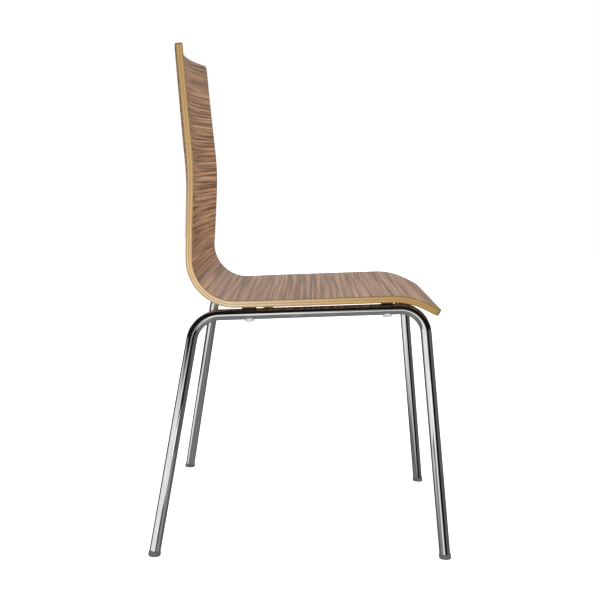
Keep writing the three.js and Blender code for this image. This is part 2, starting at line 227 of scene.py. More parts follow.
def middle_line():
    corners = [corner for corner, _, _ in BENDS]
    ends = [FRONT_LIP, *corners, BACK_TOP]
    line = [FRONT_LIP + LIP_DIRECTION * d for d in end_distances(LIP_CORNER_RADIUS)]
    for i, (corner, radius, steps) in enumerate(BENDS):
        line += rounded_corner(ends[i], corner, ends[i + 2], radius, steps)
    line += [BACK_TOP - TOP_DIRECTION * d for d in reversed(end_distances(TOP_CORNER_RADIUS))]
    split = []
    for point, following in zip(line, line[1:]):
        pieces = math.ceil(np.linalg.norm(following - point) / LONGEST_STRETCH)
        split += [point + (following - point) * k / pieces for k in range(pieces)]
    return np.array(split + [line[-1]])


LINE = middle_line()
STEP_LENGTHS = np.linalg.norm(np.diff(LINE, axis=0), axis=1)
RUN = np.concatenate([[0], np.cumsum(STEP_LENGTHS)])
SHELL_LENGTH = float(RUN[-1])


def sitter_side():
    """At each station, the unit vector square to the middle line on the sitter's side."""
    directions = np.diff(LINE, axis=0) / STEP_LENGTHS[:, None]
    into = np.vstack([directions[:1], directions])
    out_of = np.vstack([directions, directions[-1:]])
    tangent = into + out_of
    tangent /= np.linalg.norm(tangent, axis=1)[:, None]
    return np.stack([-tangent[:, 1], tangent[:, 0]], axis=1)


NORMALS = sitter_side()


def corner_inset(distance, radius):
    short = min(max(radius - distance, 0.0), radius)
    return radius - math.sqrt(radius * radius - short * short)


def outline_half_width(y, z):
    if y < WAIST_STARTS_Y or z < WAIST_Z:
        narrowing = smoothstep(y, WAIST_STARTS_Y, WAIST_Y)
        return SEAT_HALF_WIDTH + (WAIST_HALF_WIDTH - SEAT_HALF_WIDTH) * narrowing
    if z < LUMBAR_Z:
        widening = smoothstep(z, WAIST_Z, LUMBAR_Z)
        return WAIST_HALF_WIDTH + (LUMBAR_HALF_WIDTH - WAIST_HALF_WIDTH) * widening
    narrowing = smoothstep(z, LUMBAR_Z, BACK_TOP[1])
    return LUMBAR_HALF_WIDTH + (TOP_HALF_WIDTH - LUMBAR_HALF_WIDTH) * narrowing


def half_width(y, z):
    point = np.array([y, z])
    lip = corner_inset(max((point - FRONT_LIP) @ LIP_DIRECTION, 0), LIP_CORNER_RADIUS)
    top = corner_inset(max((BACK_TOP - point) @ TOP_DIRECTION, 0), TOP_CORNER_RADIUS)
    return outline_half_width(y, z) - (lip if y < BENDS[0][0][0] else top)


def hollow_share(x, z):
    across = abs(x) / SEAT_HALF_WIDTH
    return smoothstep(z, HOLLOW_STARTS_Z, HOLLOW_FULL_Z) * (1 - across**HOLLOW_POWER)


def column_places():
    """Places across the shell from -1 to 1, each with its fixed distance from the edge."""
    rim = [(1.0, EDGE_EASING * (1 - math.cos(a))) for a in EASED_ANGLES]
    inner = [(1 - 2 * k / COLUMNS, EDGE_EASING) for k in range(COLUMNS + 1)]
    places = rim + inner + [(-1.0, d) for _, d in reversed(rim)]
    return [(-place, distance) for place, distance in places]


PLACES = column_places()


def easing(distance):
    """How far the face drops where an edge is eased."""
    return corner_inset(distance, EDGE_EASING)


def shell_face(offset, eased):
    """A grid of points one row per station, at an offset from the middle line. Where eased
    is +1 or -1, the face drops towards the middle line along its rim."""
    rows = []
    for station, normal, run in zip(LINE, NORMALS, RUN):
        end = easing(min(run, SHELL_LENGTH - run))
        row = []
        for place, distance in PLACES:
            drop = eased * max(end, easing(distance))
            y, z = station + normal * (offset - drop)
            reach = half_width(y, z)
            x = math.copysign(reach - distance, place) if abs(place) == 1 else place * (reach - EDGE_EASING)
            share = hollow_share(x, z)
            row.append((x, y + BACK_HOLLOW * share, z - HOLLOW_DROP * share))
        rows.append(row)
    return np.array(rows)


def shell_layer(name, low, high, material, replaced):
    """One closed layer of the shell between two offsets from the middle line. Its grain map
    is (run along the shell, place across), its edge map is (run, depth) and its rim map is
    (distance from the side edge, distance from the end)."""
    lower = shell_face(low, -1 if low < -CORE_HALF - GLUE_LINE else 0)
    upper = shell_face(high, 1 if high > CORE_HALF + GLUE_LINE else 0)
    rows, columns = lower.shape[:2]
    vertices = np.concatenate([lower.reshape(-1, 3), upper.reshape(-1, 3)])
    depth = np.concatenate([np.full(rows * columns, low), np.full(rows * columns, high)])
    run = np.tile(np.repeat(RUN, columns), 2)
    lift = rows * columns
    faces = []
    on_end = []

    def quad(a, b, c, d, end=False):
        faces.append((a, b, c, d))
        on_end.append(end)

    for i in range(rows - 1):
        for j in range(columns - 1):
            a = i * columns + j
            b, c, d = a + 1, a + columns + 1, a + columns
            quad(a, d, c, b)
            quad(lift + a, lift + b, lift + c, lift + d)
        for j, flip in ((0, False), (columns - 1, True)):
            a = i * columns + j
            d = a + columns
            quad(*((a, d, lift + d, lift + a) if flip else (a, lift + a, lift + d, d)))
    for i, flip in ((0, True), (rows - 1, False)):
        for j in range(columns - 1):
            a = i * columns + j
            b = a + 1
            quad(*((a, b, lift + b, lift + a) if flip else (a, lift + a, lift + b, b)), end=True)
    piece = make_piece(name, vertices, faces, material, replaced)
    mesh = piece.data
    corner_vertices = np.zeros(len(mesh.loops), int)
    mesh.loops.foreach_get("vertex_index", corner_vertices)
    sizes = np.zeros(len(mesh.polygons), int)
    mesh.polygons.foreach_get("loop_total", sizes)
    ends = np.repeat(np.array(on_end), sizes)
    place = vertices[corner_vertices, 0]
    along = run[corner_vertices]
    grain = mesh.uv_layers.new(name="grain")
    grain.data.foreach_set("uv", np.stack([along, place], axis=1).ravel())
    reach = np.abs(np.stack([lower[:, :, 0], upper[:, :, 0]])).max(axis=2)
    from_side = np.repeat(reach, columns, axis=1).ravel() - np.abs(vertices[:, 0])
    from_end = np.minimum(run, SHELL_LENGTH - run)
    rim = mesh.uv_layers.new(name="rim")
    rim.data.foreach_set("uv", np.stack([from_side, from_end], axis=1)[corner_vertices].ravel())
    edge = mesh.uv_layers.new(name="edge")
    edge_run = np.where(ends, along + place, along)
    edge.data.foreach_set("uv", np.stack([edge_run, depth[corner_vertices]], axis=1).ravel())
    return piece


# ---- tubes ---------------------------------------------------------------------------

def sweep_rings(path, radius, sides):
    """Circles square to a path, carried along it without twisting."""
    path = np.array(path)
    directions = np.diff(path, axis=0)
    directions /= np.linalg.norm(directions, axis=1)[:, None]
    tangents = np.vstack([directions[:1], directions[:-1] + directions[1:], directions[-1:]])
    tangents /= np.linalg.norm(tangents, axis=1)[:, None]
    across = unit(np.cross(tangents[0], [1.0, 0.0, 0.0]))
    rings = []
    for point, tangent in zip(path, tangents):
        across = unit(across - tangent * (across @ tangent))
        other = np.cross(tangent, across)
        angles = [2 * math.pi * k / sides for k in range(sides)]
        rings.append([point + radius * (across * math.cos(a) + other * math.sin(a)) for a in angles])
    return rings


def frame_path(side, past_ends=0.0):
    rear_foot = np.array([side * REAR_FOOT[0], REAR_FOOT[1], 0])
    front_foot = np.array([side * FRONT_FOOT[0], FRONT_FOOT[1], 0])
    rear_corner = np.array([side * RAIL_X, REAR_CORNER_Y, rail_height(REAR_CORNER_Y)])
    front_corner = np.array([side * RAIL_X, FRONT_CORNER_Y, rail_height(FRONT_CORNER_Y)])
    start = GLIDE_HEAD_HEIGHT + CLEARANCE - past_ends
    return [
        rear_foot + unit(rear_corner - rear_foot) * start,
        *rounded_corner(rear_foot, rear_corner, front_corner, REAR_BEND_RADIUS, BEND_STEPS),
        *rounded_corner(rear_corner, front_corner, front_foot, FRONT_BEND_RADIUS, BEND_STEPS),
        front_foot + unit(front_corner - front_foot) * start,
    ]


def with_even_steps(path, longest=0.02):
    """Splits the straight stretches of a path, so that fine surface detail can follow them."""
    stations = []
    for point, following in zip(path, path[1:]):
        pieces = math.ceil(np.linalg.norm(following - point) / longest)
        stations += [point + (following - point) * k / pieces for k in range(pieces)]
    return stations + [path[-1]]


def side_frame(hand, material):
    path = with_even_steps(frame_path(SIDES[hand]))
    outside = sweep_rings(path, TUBE_RADIUS, TUBE_SIDES)
    narrower = sweep_rings(path, TUBE_RADIUS - TUBE_END_EASING, TUBE_SIDES)
    inside = sweep_rings(path, TUBE_BORE, TUBE_SIDES)
    into = unit(path[1] - path[0]) * TUBE_END_EASING
    back = unit(path[-2] - path[-1]) * TUBE_END_EASING
    outside[0] = [point + into for point in outside[0]]
    outside[-1] = [point + back for point in outside[-1]]
    rings = [narrower[0], *outside, narrower[-1], *reversed(inside)]
    vertices, faces = loft(rings, closed=True)
    return make_piece(
        f"chromed_{hand}_side_frame", vertices, faces, material, [f"{hand}_side_frame"]
    )


def cross_tube(label, material):
    """A tube between the rails: its ends are coped to them, with a small weld around each."""
    y = CROSS_TUBE_YS[label]
    height = rail_height(y)

    def coped_ring(radius, gap, side):
        ring = []
        for k in range(TUBE_SIDES):
            angle = 2 * math.pi * k / TUBE_SIDES
            dy, dz = radius * math.cos(angle), radius * math.sin(angle)
            off_axis = dz * math.cos(SEAT_ANGLE) + dy * math.sin(SEAT_ANGLE)
            reach = TUBE_RADIUS + CLEARANCE / 10 + gap
            x = RAIL_X - math.sqrt(max(reach * reach - off_axis * off_axis, 0))
            ring.append((side * x, y + dy, height + dz))
        return ring

    widest = TUBE_RADIUS - 0.1 * MM
    weld = [
        (min(CROSS_TUBE_RADIUS + WELD_LEG * (1 - math.sin(a)), widest), WELD_LEG * (1 - math.cos(a)))
        for a in QUARTER_ROUND
    ]
    right = [coped_ring(radius, gap, -1) for radius, gap in weld]
    left = [coped_ring(radius, gap, 1) for radius, gap in reversed(weld)]
    inside = [coped_ring(CROSS_TUBE_BORE, 0, side) for side in (1, -1)]
    vertices, faces = loft([*right, *left, *inside], closed=True)
    return make_piece(
        f"chromed_{label}_cross_tube", vertices, faces, material, [f"{label}_cross_tube"]
    )


# ---- fixings -------------------------------------------------------------------------

def on_rail(vertices, side, y):
    """Moves points made about the rail's centre line at the origin to their place on a rail."""
    points = np.array(vertices)
    cosine, sine = math.cos(SEAT_ANGLE), math.sin(SEAT_ANGLE)
    turned = np.stack([
        points[:, 0],
        points[:, 1] * cosine + points[:, 2] * sine,
        points[:, 2] * cosine - points[:, 1] * sine,
    ], axis=1)
    return turned + np.array([side * RAIL_X, y, rail_height(y)])


def spacer_section():
    """Half-round saddle below, flat top, its corners rounded; points [x, z]."""
    seat = TUBE_RADIUS + CLEARANCE
    skirt = math.asin(SPACER_SKIRT / seat)
    top = UNDERSIDE - CLEARANCE / 3
    points = []
    for k in range(21):
        angle = math.pi - skirt - (math.pi - 2 * skirt) * k / 20
        points.append((seat * math.cos(angle), seat * math.sin(angle)))
    for cx, cz, start in (
        (SPACER_HALF_WIDTH - SPACER_ROUNDING, SPACER_SKIRT + SPACER_ROUNDING, -math.pi / 2),
        (SPACER_HALF_WIDTH - SPACER_ROUNDING, top - SPACER_ROUNDING, 0),
        (-SPACER_HALF_WIDTH + SPACER_ROUNDING, top - SPACER_ROUNDING, math.pi / 2),
        (-SPACER_HALF_WIDTH + SPACER_ROUNDING, SPACER_SKIRT + SPACER_ROUNDING, math.pi),
    ):
        for k in range(5):
            angle = start + math.pi / 2 * k / 4
            points.append((cx + SPACER_ROUNDING * math.cos(angle), cz + SPACER_ROUNDING * math.sin(angle)))
    return np.array(points)


def spacer(end, hand, material):
    section = spacer_section()
    middle = section.mean(axis=0)
    half = SPACER_LENGTHS[end] / 2
    rings = []
    for k in range(5):
        angle = math.pi / 2 * k / 4
        shrink = 1 - SPACER_ROUNDING * (1 - math.sin(angle)) / SPACER_HALF_WIDTH
        place = half - SPACER_ROUNDING + SPACER_ROUNDING * math.cos(angle)
        scaled = middle + (section - middle) * shrink
        rings.append([(x, place, z) for x, z in scaled])
    mirrored = [[(x, -y, z) for x, y, z in ring] for ring in reversed(rings)]
    vertices, faces = loft([*rings, *mirrored])
    vertices = on_rail(vertices, SIDES[hand], FIXING_YS[end])
    name = f"{end}_{hand}_saddle_spacer"
    return make_piece(f"rubber_{name}", vertices, faces, material, [name])


def buffer(end, hand, material):
    """A round pad under the rail, its top a saddle, with a recess for the screw's head."""
    sides = 48
    tube = TUBE_RADIUS + CLEARANCE
    bottom = -TUBE_RADIUS - BUFFER_DROP
    floor = -TUBE_RADIUS - CLEARANCE - BUFFER_SEAT
    recess = SCREW_HEAD_RADIUS + 0.5 * MM
    hole = SCREW_RADIUS + CLEARANCE
    rounding = 1.2 * MM

    def saddle(radius):
        ring = circle(radius, 0, sides)
        for point in ring:
            point[2] = -math.sqrt(max(tube * tube - point[0] * point[0], 0))
        return ring

    outside = [saddle(BUFFER_RADIUS)]
    outside[0][:, 2] = np.minimum(outside[0][:, 2], -TUBE_RADIUS + 3 * MM)
    corner = [
        circle(BUFFER_RADIUS - rounding * (1 - math.cos(a)), bottom + rounding * (1 - math.sin(a)), sides)
        for a in QUARTER_ROUND
    ]
    lip = [circle(recess + 0.3 * MM, bottom, sides), circle(recess, bottom + 0.3 * MM, sides)]
    rings = [
        saddle(hole), saddle(BUFFER_RADIUS * 0.7), *outside, *corner, *lip,
        circle(recess, floor, sides), circle(hole, floor, sides),
    ]
    vertices, faces = loft(rings, closed=True)
    faces = [tuple(reversed(face)) for face in faces]
    vertices = on_rail(vertices, SIDES[hand], FIXING_YS[end])
    name = f"{end}_{hand}_stacking_buffer"
    return make_piece(f"nylon_{name}", vertices, faces, material, [name])


def screw(end, hand, material):
    """A low-head socket screw: hexagon recess below, threaded shank above."""
    sides = 36
    seat = -TUBE_RADIUS - 2 * CLEARANCE - BUFFER_SEAT
    head = seat - SCREW_HEAD_HEIGHT
    tip = seat + SCREW_LENGTH

    def hexagon(angle):
        return SOCKET_RADIUS * math.cos(math.pi / 6) / math.cos((angle % (math.pi / 3)) - math.pi / 6)

    rounding = 0.8 * MM
    rings = [
        circle(0.05 * MM, head + SOCKET_DEPTH + 0.4 * MM, sides),
        circle(hexagon, head + SOCKET_DEPTH, sides),
        circle(hexagon, head + 0.2 * MM, sides),
        circle(SOCKET_RADIUS + 0.25 * MM, head, sides),
    ]
    for a in (0, 0.5, 1.0, math.pi / 2):
        rings.append(circle(
            SCREW_HEAD_RADIUS - rounding * (1 - math.sin(a)), head + rounding * (1 - math.cos(a)), sides
        ))
    rings += [circle(SCREW_HEAD_RADIUS, seat, sides), circle(SCREW_RADIUS, seat, sides)]
    plain = seat + 12 * MM
    rings.append(circle(SCREW_RADIUS, plain, sides))
    steps = int((tip - 1 * MM - plain) / THREAD_PITCH * 6)
    for i in range(1, steps + 1):
        height = plain + i * THREAD_PITCH / 6

        def thread(angle, turn=i / 6):
            along = (turn - angle / (2 * math.pi)) % 1
            return SCREW_RADIUS - THREAD_DEPTH * abs(2 * along - 1)

        rings.append(circle(thread, height, sides))
    rings.append(circle(SCREW_RADIUS - 1 * MM, tip, sides))
    vertices, faces = loft(rings)
    vertices = on_rail(vertices, SIDES[hand], FIXING_YS[end])
    name = f"{end}_{hand}_seat_screw"
    return make_piece(f"steel_{name}", vertices, faces, material, [name], 30)


# ---- foot glides ---------------------------------------------------------------------

def glide(end, hand, material):
    """A plug in the leg's end, its head rounded below and cut level with the floor."""
    side = SIDES[hand]
    foot_xy = FRONT_FOOT if end == "front" else REAR_FOOT
    corner_y = FRONT_CORNER_Y if end == "front" else REAR_CORNER_Y
    foot = np.array([side * foot_xy[0], foot_xy[1], 0])
    direction = unit(np.array([side * RAIL_X, corner_y, rail_height(corner_y)]) - foot)
    across = unit(np.cross(direction, [1.0, 0.0, 0.0]))
    other = np.cross(direction, across)
    stem = TUBE_BORE - CLEARANCE
    top = GLIDE_HEAD_HEIGHT
    outline = [(0.4 * MM, -GLIDE_BELOW_FLOOR)]
    outline += [(GLIDE_RADIUS * k / 6, -GLIDE_BELOW_FLOOR) for k in range(1, 5)]
    for k in range(7):
        angle = math.pi / 2 * k / 6
        outline.append((
            GLIDE_RADIUS - GLIDE_ROUNDING * (1 - math.sin(angle)),
            -GLIDE_BELOW_FLOOR + GLIDE_ROUNDING * (1 - math.cos(angle)),
        ))
    outline += [(GLIDE_RADIUS, 0.6 * top), (GLIDE_RADIUS, top - 0.9 * MM)]
    outline += [(GLIDE_RADIUS - 0.25 * MM, top - 0.25 * MM), (GLIDE_RADIUS - 0.9 * MM, top)]
    outline += [(stem, top), (stem, top + GLIDE_STEM_LENGTH - 2 * MM)]
    outline += [(stem - 1.5 * MM, top + GLIDE_STEM_LENGTH), (0.4 * MM, top + GLIDE_STEM_LENGTH)]
    rings = []
    for radius, height in outline:
        ring = []
        for k in range(TUBE_SIDES):
            angle = 2 * math.pi * k / TUBE_SIDES
            reach = radius * (across * math.cos(angle) + other * math.sin(angle))
            point = foot + direction * height + reach
            if point[2] < 0:
                point = point - direction * (point[2] / direction[2])
            ring.append(point)
        rings.append(ring)
    vertices, faces = loft(rings)
    name = f"{end}_{hand}_foot_glide"
    return make_piece(f"moulded_{name}", vertices, faces, material, [name], 50)


# ---- materials -----------------------------------------------------------------------

def srgb(red, green, blue):
    """A colour given in the usual 0 to 255 display values, as the shaders want it."""
    def linear(value):
        value /= 255
        return value / 12.92 if value <= 0.04045 else ((value + 0.055) / 1.055) ** 2.4
    return (linear(red), linear(green), linear(blue), 1.0)


class Nodes:
    """Short ways to add nodes to a material or the world."""

    def __init__(self, tree):
        self.tree = tree

    def put(self, value, socket):
        if isinstance(value, bpy.types.NodeSocket):
            self.tree.links.new(value, socket)
        else:
            socket.default_value = value

    def add(self, kind, inputs=None, **settings):
        node = self.tree.nodes.new(kind)
        for key, value in settings.items():
            setattr(node, key, value)
        for key, value in (inputs or {}).items():
            self.put(value, node.inputs[key])
        return node

    def math(self, operation, *values, clamp=False):
        node = self.add("ShaderNodeMath", dict(enumerate(values)), operation=operation, use_clamp=clamp)
        return node.outputs[0]

    def mix(self, factor, first, second):
        node = self.add("ShaderNodeMix", data_type="RGBA")
        self.put(factor, node.inputs[0])
        self.put(first, node.inputs[6])
        self.put(second, node.inputs[7])
        return node.outputs[2]

    def ramp(self, factor, stops):
        node = self.add("ShaderNodeValToRGB", {"Fac": factor})
        elements = node.color_ramp.elements
        while len(elements) < len(stops):
            elements.new(1.0)
        for element, (place, colour) in zip(elements, stops):
            element.position = place
            element.color = colour
        return node.outputs["Color"]

    def step(self, value, low, high, out_low=0.0, out_high=1.0):
        """Smooth change of a number as value passes from low to high."""
        node = self.add(
            "ShaderNodeMapRange",
            {"Value": value, "From Min": low, "From Max": high, "To Min": out_low, "To Max": out_high},
            interpolation_type="SMOOTHSTEP",
        )
        return node.outputs["Result"]

    def noise(self, vector, detail=2.0, roughness=0.5, distortion=0.0):
        node = self.add(
            "ShaderNodeTexNoise",
            {"Vector": vector, "Scale": 1.0, "Detail": detail, "Roughness": roughness,
             "Distortion": distortion},
            noise_dimensions="3D",
        )
        return node.outputs["Fac"]

    def combine(self, x, y, z=0.0):
        return self.add("ShaderNodeCombineXYZ", {"X": x, "Y": y, "Z": z}).outputs[0]

    def bump(self, height, strength, distance):
        return self.add(
            "ShaderNodeBump", {"Height": height, "Strength": strength, "Distance": distance}
        ).outputs["Normal"]

    def object_point(self):
        return self.add("ShaderNodeTexCoord").outputs["Object"]

    def scaled(self, vector, scale):
        node = self.add("ShaderNodeVectorMath", operation="SCALE")
        self.put(vector, node.inputs[0])
        node.inputs["Scale"].default_value = scale
        return node.outputs[0]

    def uv(self, name):
        node = self.add("ShaderNodeUVMap", uv_map=name)
        split = self.add("ShaderNodeSeparateXYZ", {"Vector": node.outputs[0]})
        return split.outputs["X"], split.outputs["Y"]


def new_material(name):
    material = bpy.data.materials.new(name)
    material.use_nodes = True
    return material, Nodes(material.node_tree), material.node_tree.nodes["Principled BSDF"]


# Painted light and shade on the veneer: half the gain in lightness, against the share of the way from lip
# to top
VENEER_PAINTED_LIGHT = [
    (0.05, 0.50), (0.14, 0.44), (0.38, 0.50), (0.50, 0.50), (0.62, 0.65), (0.74, 0.62), (0.90, 0.54),
]


def veneer_material():
    """Dark streaked veneer: the streaks run across the shell, with fine fibres between them.
    They are stronger on the back. Painted light and shade lighten and darken the sheet along
    the shell, a painted warm tint offsets the sheen on the upper back, and painted shade
    darkens it towards its side edges and ends."""
    material, n, shader = new_material("streaked_veneer")
    run, across = n.uv("grain")
    drift = n.noise(n.combine(n.math("MULTIPLY", run, 7.0), n.math("MULTIPLY", across, 3.0)), 2.0)
    ripple = n.noise(n.combine(n.math("MULTIPLY", run, 30.0), n.math("MULTIPLY", across, 9.0), 4.0), 1.0)
    wandering = n.math("MULTIPLY_ADD", drift, 0.005, run)
    wandering = n.math("MULTIPLY_ADD", ripple, 0.0012, wandering)

    def grain(per_metre, lengthwise, seed, detail, roughness=0.55):
        return n.noise(
            n.combine(
                n.math("MULTIPLY", wandering, per_metre), n.math("MULTIPLY", across, lengthwise), seed
            ),
            detail,
            roughness,
        )

    bands = grain(70.0, 1.2, 1.7, 2.0)
    streaks = grain(235.0, 1.6, 8.3, 2.0, 0.6)
    lines = grain(520.0, 3.0, 21.9, 2.0)
    fibres = grain(1300.0, 22.0, 5.1, 2.0)
    ground = n.ramp(bands, [
        (0.32, srgb(154, 107, 68)), (0.48, srgb(178, 128, 86)), (0.66, srgb(197, 151, 110)),
    ])
    clouds = n.noise(n.combine(n.math("MULTIPLY", run, 24.0), n.math("MULTIPLY", across, 5.0), 13.0))
    reddish = n.step(clouds, 0.48, 0.70)
    ground = n.mix(n.math("MULTIPLY", reddish, 0.5), ground, srgb(188, 128, 94))
    # Painted light: a warm tint on the upper back, painted into the colour to offset the sheen there
    painted_sheen_offset = n.step(run, 0.62 * SHELL_LENGTH, SHELL_LENGTH, 0.0, 0.75)
    ground = n.mix(painted_sheen_offset, ground, srgb(188, 128, 70))
    on_back = n.step(run, 0.50 * SHELL_LENGTH, 0.62 * SHELL_LENGTH)
    streak_strength = n.math("MULTIPLY_ADD", on_back, 0.04, 0.72)
    streak_mask = n.math("MULTIPLY", n.step(streaks, 0.50, 0.60), streak_strength)
    colour = n.mix(streak_mask, ground, srgb(114, 73, 40))
    line_strength = n.math("MULTIPLY_ADD", on_back, 0.16, 0.62)
    line_mask = n.math("MULTIPLY", n.step(lines, 0.50, 0.62), line_strength)
    colour = n.mix(line_mask, colour, srgb(92, 57, 30))
    pale_strength = n.math("MULTIPLY_ADD", on_back, 0.16, 0.5)
    pale_mask = n.math("MULTIPLY", n.step(lines, 0.47, 0.33), pale_strength)
    colour = n.mix(pale_mask, colour, srgb(222, 182, 140))
    fibre_mask = n.math("MULTIPLY", n.step(fibres, 0.45, 0.75), 0.2)
    colour = n.mix(fibre_mask, colour, srgb(116, 80, 54))
    # Painted shade: the veneer darkens towards its side edges and ends, within 9 mm
    from_side, from_end = n.uv("rim")
    rim = n.math("MINIMUM", from_side, from_end)
    colour = n.mix(n.step(rim, 0.009, 0.001, 0.0, 0.5), colour, srgb(82, 56, 38))
    # Painted light and shade: the colour is brightened or darkened along the shell
    painted_light_gain = n.ramp(
        n.math("DIVIDE", run, SHELL_LENGTH),
        [(share, (level, level, level, 1)) for share, level in VENEER_PAINTED_LIGHT],
    )
    painted_light_node = n.add("ShaderNodeHueSaturation", {
        "Value": n.math("MULTIPLY", painted_light_gain, 2.0), "Saturation": 0.96, "Color": colour,
    })
    colour = painted_light_node.outputs["Color"]
    n.put(colour, shader.inputs["Base Color"])
    roughness = n.math("MULTIPLY_ADD", streaks, 0.16, 0.30)
    n.put(roughness, shader.inputs["Roughness"])
    shader.inputs["Specular IOR Level"].default_value = 0.35
    n.put(n.bump(n.math("ADD", fibres, streaks), 0.35, 0.00006), shader.inputs["Normal"])
    return material


PLY_COUNT = 5


def ply_material():
    """Edge of the core: pale plies with the grain along them, darker end grain between. Its tone along the
    shell is the ply's colour with painted light and shade: lightest around the bend from seat to back,
    darker towards the lip and the top.
    """
    material, n, shader = new_material("plywood_edge")
    run, depth = n.uv("edge")
    sway = n.noise(n.combine(n.math("MULTIPLY", run, 9.0), 0.0, 2.0), 3.0)
    bent = n.math("MULTIPLY_ADD", sway, 0.0008, n.math("SUBTRACT", depth, 0.0004))
    place = n.math("MULTIPLY", n.math("ADD", bent, CORE_HALF), PLY_COUNT / (2 * CORE_HALF))
    ply = n.math("FLOOR", place)
    end_grain = n.math("SUBTRACT", 1.0, n.math("MODULO", ply, 2.0))
    within = n.math("FRACT", place)
    glue = n.math("ADD", n.step(within, 0.09, 0.0), n.step(within, 0.91, 1.0), clamp=True)
    # The ply's colour with painted light and shade along the shell
    tone_and_painted_light = n.ramp(n.math("DIVIDE", run, SHELL_LENGTH), [
        (0.00, srgb(190, 158, 89)),
        (0.08, srgb(196, 157, 92)),
        (0.18, srgb(211, 177, 117)),
        (0.28, srgb(223, 189, 143)),
        (0.44, srgb(243, 218, 184)),
        (0.56, srgb(248, 212, 160)),
        (0.72, srgb(214, 181, 128)),
        (1.00, srgb(198, 162, 105)),
    ])
    long_fibres = n.noise(
        n.combine(n.math("MULTIPLY", run, 60.0), n.math("MULTIPLY", depth, 4200.0), ply), 3.0, 0.6
    )
    end_pores = n.noise(
        n.combine(n.math("MULTIPLY", run, 1500.0), n.math("MULTIPLY", depth, 1500.0), ply), 2.0, 0.6
    )
    shade = n.mix(n.math("MULTIPLY", n.step(long_fibres, 0.40, 0.70), 0.30), tone_and_painted_light, srgb(176, 138, 88))
    darker = n.mix(n.step(end_pores, 0.30, 0.75, 0.40, 0.62), tone_and_painted_light, srgb(134, 98, 56))
    colour = n.mix(end_grain, shade, darker)
    colour = n.mix(n.math("MULTIPLY", glue, 0.5), colour, srgb(112, 76, 42))
    patches = n.noise(n.combine(n.math("MULTIPLY", run, 22.0), n.math("MULTIPLY", depth, 60.0), 9.0), 2.0)
    colour = n.mix(n.step(patches, 0.45, 0.8, 0.0, 0.16), colour, srgb(168, 116, 66))
    # Painted shade: the edge darkens within 5.5 mm of the lip and the top, and on the end faces
    from_end = n.uv("rim")[1]
    colour = n.mix(n.step(from_end, 0.0055, 0.0015, 0.0, 0.8), colour, srgb(92, 66, 36))
    n.put(colour, shader.inputs["Base Color"])
    n.put(n.math("MULTIPLY_ADD", end_pores, 0.20, 0.42), shader.inputs["Roughness"])
    shader.inputs["Specular IOR Level"].default_value = 0.35
    relief = n.math("ADD", n.math("MULTIPLY", end_pores, end_grain), n.math("MULTIPLY", long_fibres, 0.6))
    n.put(n.bump(relief, 0.4, 0.00008), shader.inputs["Normal"])
    return material


def chrome_material():
    """Bright chrome plate: faint polishing haze and a few handling marks."""
    material, n, shader = new_material("bright_chrome")
    point = n.object_point()
    haze = n.noise(n.scaled(point, 26.0), 3.0)
    marks = n.noise(n.scaled(point, 420.0), 3.0, 0.65)
    colour = n.mix(n.step(haze, 0.35, 0.70), (0.86, 0.87, 0.88, 1), (0.92, 0.925, 0.93, 1))
    n.put(colour, shader.inputs["Base Color"])
    shader.inputs["Metallic"].default_value = 1.0
    worn = n.step(marks, 0.60, 0.80, 0.0, 0.07)
    n.put(n.math("ADD", n.step(haze, 0.3, 0.7, 0.025, 0.055), worn), shader.inputs["Roughness"])
    n.put(n.bump(marks, 0.04, 0.00002), shader.inputs["Normal"])
    return material


def moulded_material(name, colour, scuffed, roughness, grain_per_metre, relief):
    """Moulded plastic or rubber: a fine spark-eroded texture and paler scuffs."""
    material, n, shader = new_material(name)
    point = n.object_point()
    texture = n.noise(n.scaled(point, grain_per_metre), 3.0, 0.6)
    scuffs = n.noise(n.scaled(point, 130.0), 4.0, 0.7, 0.6)
    n.put(n.mix(n.step(scuffs, 0.55, 0.75, 0.0, 0.6), colour, scuffed), shader.inputs["Base Color"])
    n.put(n.step(texture, 0.25, 0.75, roughness - 0.08, roughness + 0.08), shader.inputs["Roughness"])
    n.put(n.bump(texture, relief, 0.0001), shader.inputs["Normal"])
    return material


def metal_material(name, colour, tarnish, roughness):
    """Plated or machined metal, dulled in patches."""
    material, n, shader = new_material(name)
    point = n.object_point()
    patches = n.noise(n.scaled(point, 240.0), 4.0, 0.6)
    fine = n.noise(n.scaled(point, 2600.0), 2.0)
    n.put(n.mix(n.step(patches, 0.40, 0.72, 0.0, 0.7), colour, tarnish), shader.inputs["Base Color"])
    shader.inputs["Metallic"].default_value = 1.0
    n.put(n.step(patches, 0.35, 0.70, roughness, roughness + 0.18), shader.inputs["Roughness"])
    n.put(n.bump(fine, 0.12, 0.00003), shader.inputs["Normal"])
    return material


# ---- studio --------------------------------------------------------------------------

# How bright the studio is where polished metal mirrors it
DARK_LEVEL = 0.008
GREY_LEVEL = 0.13
HIGH_FAR_LEVEL = 0.9
FLOOR_LEVEL = 0.22
SWEEP_LEVEL = 1.05


